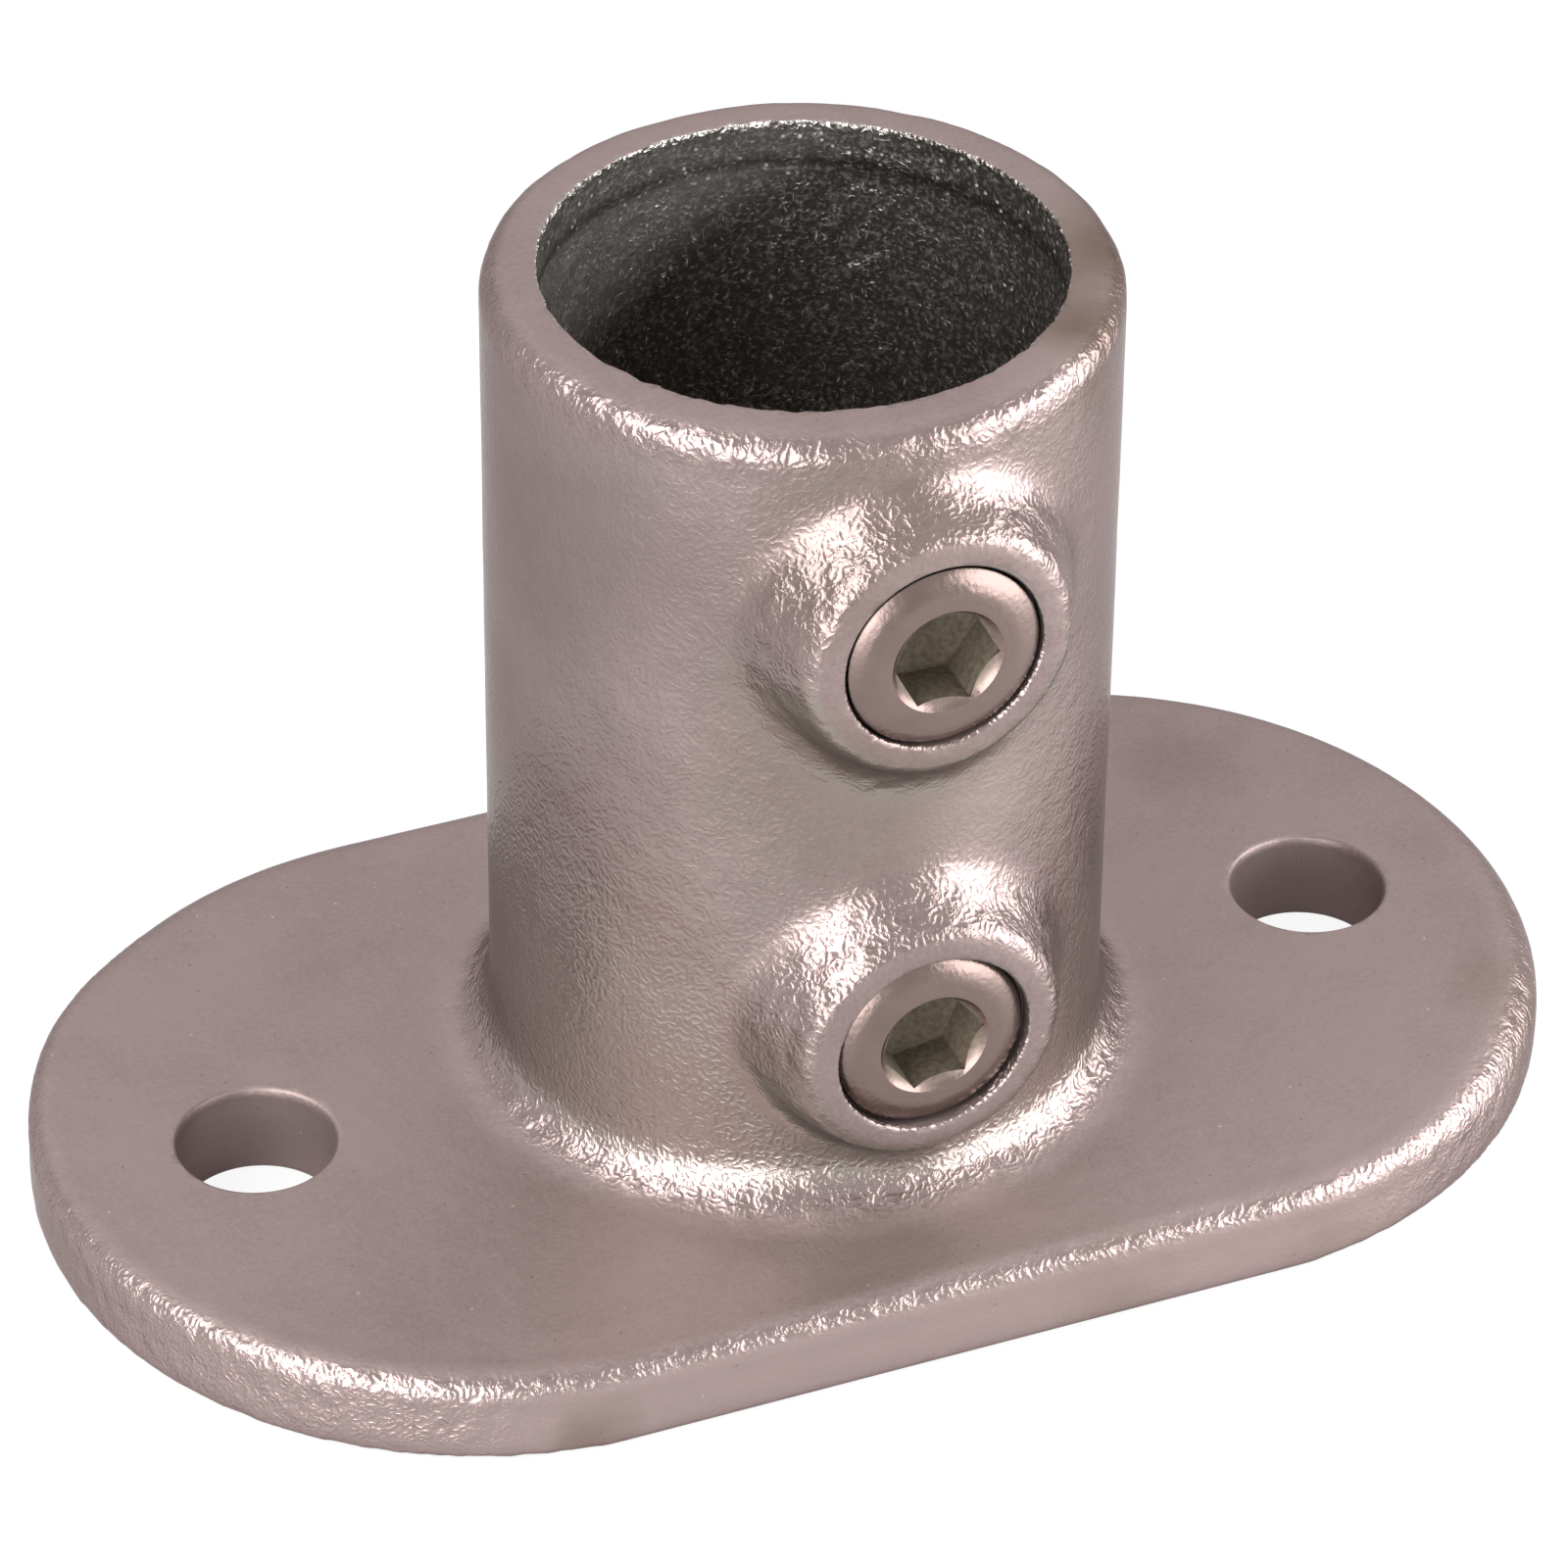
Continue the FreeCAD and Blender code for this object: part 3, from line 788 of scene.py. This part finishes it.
def places(skin):
    # each point of the skin in millimetres, how far it is from the bore's axis, how far past the centre of
    # the plate's round end it lies, and whether it is on the wall of the bore
    x, y, z = points_of(skin).T / MM
    ends = (casting_high.x - plate_end_radius) / MM
    reach = np.hypot(x, y)
    bore = 1 - ramp(reach, bore_radius / MM + 0.8, bore_radius / MM + 1.6)
    return x, y, z, reach, x - np.clip(x, -ends, ends), bore


def hidden_places(skin):
    # the middle of the underside and the lower bore, where the grid may be thinned
    x, y, z, reach, beyond, bore = places(skin)
    from_edge = plate_end_radius / MM - np.hypot(beyond, y)
    from_hole = np.hypot(np.abs(x) - fixing_hole_x / MM, y) - fixing_hole_radius / MM
    underside = (1 - ramp(z, 0.1, 0.2)) * ramp(from_edge, 4, 7) * ramp(from_hole, 2, 4)
    underside *= ramp(reach, bore_radius / MM + 1.5, bore_radius / MM + 3)
    return np.clip(underside + bore * ramp(z, 1, 3) * (1 - ramp(z, 35, 45)), 0, 1)


def tight_edge(y, z, beyond):
    # how far the tighter edge stands out from the solid's even round, as a share of the most
    out = EDGE_ROUND - (plate_end_radius / MM - np.hypot(beyond, y))
    above = z - (plate_top / MM - EDGE_ROUND)
    turn = np.arctan2(np.maximum(above, 0), np.maximum(out, 1e-6))
    cosine = np.cos(turn)
    sine = np.sin(turn)
    inset = EDGE_ROUND - TIGHT_ROUND
    arc = inset * (cosine + sine) + np.sqrt(np.maximum(
        (inset * (cosine + sine)) ** 2 - 2 * inset ** 2 + TIGHT_ROUND ** 2, 0))
    square = EDGE_ROUND / np.maximum(cosine, sine)
    tight = np.where(EDGE_ROUND * np.minimum(cosine, sine) / np.maximum(cosine, sine) < inset, square, arc)
    heading = np.degrees(np.arctan2(beyond, -y))
    share = (tight - EDGE_ROUND) / TIGHT_OUT * (out > 0) * (above > 0)
    return share * ((1 - ramp(heading, *TIGHT_TO)) * ramp(heading, *TIGHT_FROM))


def rough_texture(name, kind, size, **settings):
    texture = bpy.data.textures.new(name, kind)
    texture.noise_scale = size
    for key, value in settings.items():
        setattr(texture, key, value)
    return texture


def displace(skin, name, strength, weights, texture=None):
    apply_modifier(skin, "DISPLACE", texture=texture, texture_coords="LOCAL", strength=strength,
                   mid_level=0.5 if texture else 0.0, vertex_group=weigh(skin, name, weights))


def roughen(skin):
    # the cast relief, the groove below the land and the tighter edge
    x, y, z, reach, beyond, bore = places(skin)
    foot = ramp(z, 0.1, 1.5)
    shaped = ramp(z, plate_top / MM - 0.2, plate_top / MM + 2.0)
    shaped *= np.maximum(ramp(reach, SOCKET_RADIUS / MM + 0.3, SOCKET_RADIUS / MM + 1.5),
                         ramp(z, RIM_START / MM, RIM_FULL / MM))
    tight = tight_edge(y, z, beyond)
    displace(skin, "waves", WAVES, foot * (1 - 0.6 * bore) * (0.3 + 0.7 * shaped),
             rough_texture("casting waves", "CLOUDS", 9 * MM, noise_depth=1))
    displace(skin, "dents", DENTS, foot * (1 - bore) * (0.15 + 0.85 * shaped),
             rough_texture("hammered dents", "CLOUDS", 2.6 * MM, noise_depth=1,
                           noise_basis="IMPROVED_PERLIN"))
    displace(skin, "grit", GRIT, bore, rough_texture("sand grit", "STUCCI", 1.6 * MM))
    displace(skin, "cored", -CORED, bore * ramp(LAND_Z / MM - z, 0, 0.8) * ramp(z, 6, 8))
    displace(skin, "tight edge", TIGHT_OUT * MM, tight)


def tap_holes(skin):
    sizes = bpy.context.scene.flange_sizes
    for low, high in screw_boxes.values():
        axis_z = (low.z + high.z) / 2
        tap = threaded_rod("tap", screw_radius + sizes.thread_gap, sizes.thread_pitch, sizes.thread_depth,
                           low.y - 3 * MM, low.y + screw_length + 8 * MM)
        place(tap, (0, 0, axis_z))
        cut(skin, tap)
        mouth = turned("mouth", [
            (0, boss_face_y - PAST),
            (MOUTH_RADIUS + PAST + MOUTH_CHAMFER, boss_face_y - PAST),
            (MOUTH_RADIUS, boss_face_y + MOUTH_CHAMFER),
            (MOUTH_RADIUS, boss_face_y + MOUTH_DEPTH),
            (0, boss_face_y + MOUTH_DEPTH),
        ], 128)
        place(mouth, (MOUTH_SHIFT, 0, axis_z - MOUTH_SHIFT))
        cut(skin, mouth)


def cut_upright(skin, name, x, profile, steps):
    # cut with a turned tool that is stood up
    tool = turned(name, profile, steps)
    tool.rotation_euler.x = math.pi / 2
    tool.location.x = x
    only_select(tool)
    bpy.ops.object.transform_apply(location=True, rotation=True, scale=True)
    cut(skin, tool)


def open_bore_and_holes(skin):
    # the mouth of the bore down to just below the land, then the fixing holes
    top = casting_high.z - MOUTH_BREAK
    over = top + MOUTH_BREAK + PAST
    rows = round((top - LAND_Z) / LAND_ROW) + 4
    wall = [(bore_radius, top - (top - LAND_Z + 2 * MM) * (1 - row / rows)) for row in range(rows + 1)]
    cut_upright(skin, "bore mouth", 0, [
        (0, wall[0][1]), *wall, (bore_radius + MOUTH_BREAK + PAST, over), (0, over)], 300)
    wall = [(fixing_hole_radius, plate_top * row / 8) for row in range(1, 8)]
    for side in (-1, 1):
        cut_upright(skin, f"fixing hole {side}", side * fixing_hole_x, [
            (0, -PAST),
            (fixing_hole_radius + HOLE_BREAK, -PAST),
            (fixing_hole_radius, HOLE_BREAK),
            *wall,
            (fixing_hole_radius, plate_top - HOLE_BREAK),
            (fixing_hole_radius + HOLE_BREAK + PAST, plate_top + PAST),
            (0, plate_top + PAST),
        ], 120)
    x, y, z = points_of(skin).T / MM
    mouth = ramp(z, LIP_START / MM, LIP_FULL / MM)
    mouth *= 1 - ramp(np.hypot(x, y), bore_radius / MM + 0.6, bore_radius / MM + 1.1)
    displace(skin, "mouth", RAGGED, mouth, rough_texture("ragged mouth", "CLOUDS", 1.3 * MM, noise_depth=1))


class FLANGE_OT_casting(bpy.types.Operator):
    """Makes the casting's skin over its solid, roughens it, taps two holes and opens the others"""
    bl_idname = "flange.casting"
    bl_label = "Casting"

    def execute(self, context):
        skin = stopped_solid()
        apply_modifier(skin, "REMESH", mode="VOXEL", voxel_size=context.scene.flange_sizes.skin_voxel,
                       use_smooth_shade=True)
        apply_modifier(skin, "SMOOTH", factor=0.5, iterations=SKIN_SMOOTHING)
        apply_modifier(skin, "DECIMATE", decimate_type="COLLAPSE", ratio=SKIN_KEPT,
                       vertex_group=weigh(skin, "hidden", hidden_places(skin)))
        roughen(skin)
        tap_holes(skin)
        open_bore_and_holes(skin)
        only_select(skin)
        bpy.ops.object.shade_smooth_by_angle(angle=SKIN_SMOOTH_ANGLE)
        give(skin, "flange_casting", "flange", casting_finish())
        return {"FINISHED"}


# the camera, turned about the middle of the plate's underside, and where that point falls in its picture

CAMERA_AZIMUTH = math.radians(-22.476)
CAMERA_ELEVATION = math.radians(36.587)
CAMERA_ROLL = math.radians(0.683)
CAMERA_LENS = 176.87
CAMERA_SENSOR = 36
CAMERA_DISTANCE = 678.8 * MM
CAMERA_SIDESTEP = -0.754 * MM
CAMERA_RISE = 26.53 * MM

FLOOR_RADIUS = 4.0
FLOOR_DROP = 0.05 * MM
LAMP_AIM = Vector((0, 0, 40 * MM))
LAMPS = (
    # name, distance, azimuth, elevation, roll, width and height as angles, brightness beside a white of 1
    ("left_window", 0.9, -58, 26, -48, 84, 36, 6.8),
    ("right_panel", 0.36, 60, 14, 0, 62, 40, 5.9),
)


def direction(azimuth, elevation):
    # azimuth 0 is the side that the set screws face, and 90 the right-hand end of the plate
    a, e = math.radians(azimuth), math.radians(elevation)
    return Vector((math.sin(a) * math.cos(e), -math.cos(a) * math.cos(e), math.sin(e)))


def stage_floor():
    only_select()
    bpy.ops.mesh.primitive_circle_add(vertices=128, radius=FLOOR_RADIUS, fill_type="NGON",
                                      location=(0, 0, -FLOOR_DROP))
    floor = bpy.context.object
    floor.name = "floor"
    bpy.ops.object.transform_apply(location=True, rotation=True, scale=True)
    material = bpy.data.materials.new("pale_paper_floor")
    tree = node_links(material)
    ray = add(tree, "ShaderNodeLightPath")
    grey = add(tree, "ShaderNodeMapRange", {
        "Value": ray.outputs["Is Camera Ray"], "To Min": 0.55, "To Max": 0.08})
    glow = add(tree, "ShaderNodeMapRange", {
        "Value": ray.outputs["Is Camera Ray"], "To Min": 0.12, "To Max": 0.9})
    paper = add(tree, "ShaderNodeBsdfPrincipled", {
        "Base Color": grey.outputs[0], "Roughness": 0.3, "IOR": 1.3})
    white = add(tree, "ShaderNodeEmission", {"Color": (1, 1, 1, 1), "Strength": glow.outputs[0]})
    lit = add(tree, "ShaderNodeAddShader", {0: paper.outputs[0], 1: white.outputs[0]})
    add(tree, "ShaderNodeOutputMaterial", {"Surface": lit.outputs[0]})
    floor.data.materials.append(material)
    return floor


class FLANGE_OT_stage(bpy.types.Operator):
    """Sets the floor, the lamps, the world and the camera"""
    bl_idname = "flange.stage"
    bl_label = "Stage"

    def execute(self, context):
        stage_floor()
        for name, distance, azimuth, elevation, roll, width, height, brightness in LAMPS:
            middle = LAMP_AIM + direction(azimuth, elevation) * distance
            bpy.ops.object.light_add(type="AREA", location=middle)
            lamp = context.object
            lamp.name = name
            lamp.data.shape = "RECTANGLE"
            lamp.data.size = 2 * distance * math.tan(math.radians(width) / 2)
            lamp.data.size_y = 2 * distance * math.tan(math.radians(height) / 2)
            lamp.data.energy = brightness * math.pi * lamp.data.size * lamp.data.size_y
            facing = direction(azimuth, elevation).to_track_quat("Z", "Y").to_matrix()
            lamp.rotation_euler = (facing @ Matrix.Rotation(math.radians(roll), 3, "Z")).to_euler()

        world = bpy.data.worlds.new("pale_room")
        context.scene.world = world
        world.use_nodes = True
        tree = world.node_tree
        tree.nodes.clear()
        ray = add(tree, "ShaderNodeLightPath")
        seen = add(tree, "ShaderNodeMath", {0: ray.outputs["Is Camera Ray"], 1: ray.outputs["Is Glossy Ray"]},
                   operation="MAXIMUM")
        seen = add(tree, "ShaderNodeMath", {0: seen.outputs[0], 1: ray.outputs["Is Transmission Ray"]},
                   operation="MAXIMUM")
        strength = add(tree, "ShaderNodeMapRange", {"Value": seen.outputs[0], "To Min": 0.8, "To Max": 1.0})
        back = add(tree, "ShaderNodeBackground", {"Color": (1, 1, 1, 1), "Strength": strength.outputs[0]})
        add(tree, "ShaderNodeOutputWorld", {"Surface": back.outputs[0]})

        back_axis = direction(math.degrees(CAMERA_AZIMUTH), math.degrees(CAMERA_ELEVATION))
        level = Vector((math.cos(CAMERA_AZIMUTH), math.sin(CAMERA_AZIMUTH), 0))
        upright = back_axis.cross(level)
        right = level * math.cos(CAMERA_ROLL) + upright * math.sin(CAMERA_ROLL)
        up = upright * math.cos(CAMERA_ROLL) - level * math.sin(CAMERA_ROLL)
        bpy.ops.object.camera_add()
        camera = context.object
        camera.name = "camera"
        camera.data.lens = CAMERA_LENS
        camera.data.sensor_width = CAMERA_SENSOR
        camera.data.clip_start = 0.05
        camera.data.clip_end = 20
        camera.location = back_axis * CAMERA_DISTANCE + right * CAMERA_SIDESTEP + up * CAMERA_RISE
        camera.rotation_euler = Matrix((right, up, back_axis)).transposed().to_euler()
        context.scene.camera = camera
        context.scene.view_settings.view_transform = "Standard"
        return {"FINISHED"}


class FLANGE_PT_panel(bpy.types.Panel):
    """Lists the steps that dress the flange"""
    bl_label = "Tube clamp base flange"
    bl_idname = "FLANGE_PT_panel"
    bl_space_type = "VIEW_3D"
    bl_region_type = "UI"
    bl_category = "Flange"

    def draw(self, context):
        for step in STEPS:
            self.layout.operator(step.bl_idname)
        for group in (context.scene.flange_sizes, context.scene.flange_finish):
            for name in group.__annotations__:
                self.layout.prop(group, name)


STEPS = (FLANGE_OT_set_screws, FLANGE_OT_casting, FLANGE_OT_stage)
CLASSES = (FlangeSizes, FlangeFinish, *STEPS, FLANGE_PT_panel)


def register():
    for item in CLASSES:
        bpy.utils.register_class(item)
    bpy.types.Scene.flange_sizes = bpy.props.PointerProperty(type=FlangeSizes)
    bpy.types.Scene.flange_finish = bpy.props.PointerProperty(type=FlangeFinish)


def unregister():
    del bpy.types.Scene.flange_finish
    del bpy.types.Scene.flange_sizes
    for item in reversed(CLASSES):
        bpy.utils.unregister_class(item)


def main():
    register()
    bpy.ops.flange.set_screws()
    bpy.ops.flange.casting()
    bpy.ops.flange.stage()


if __name__ == "__main__":
    main()
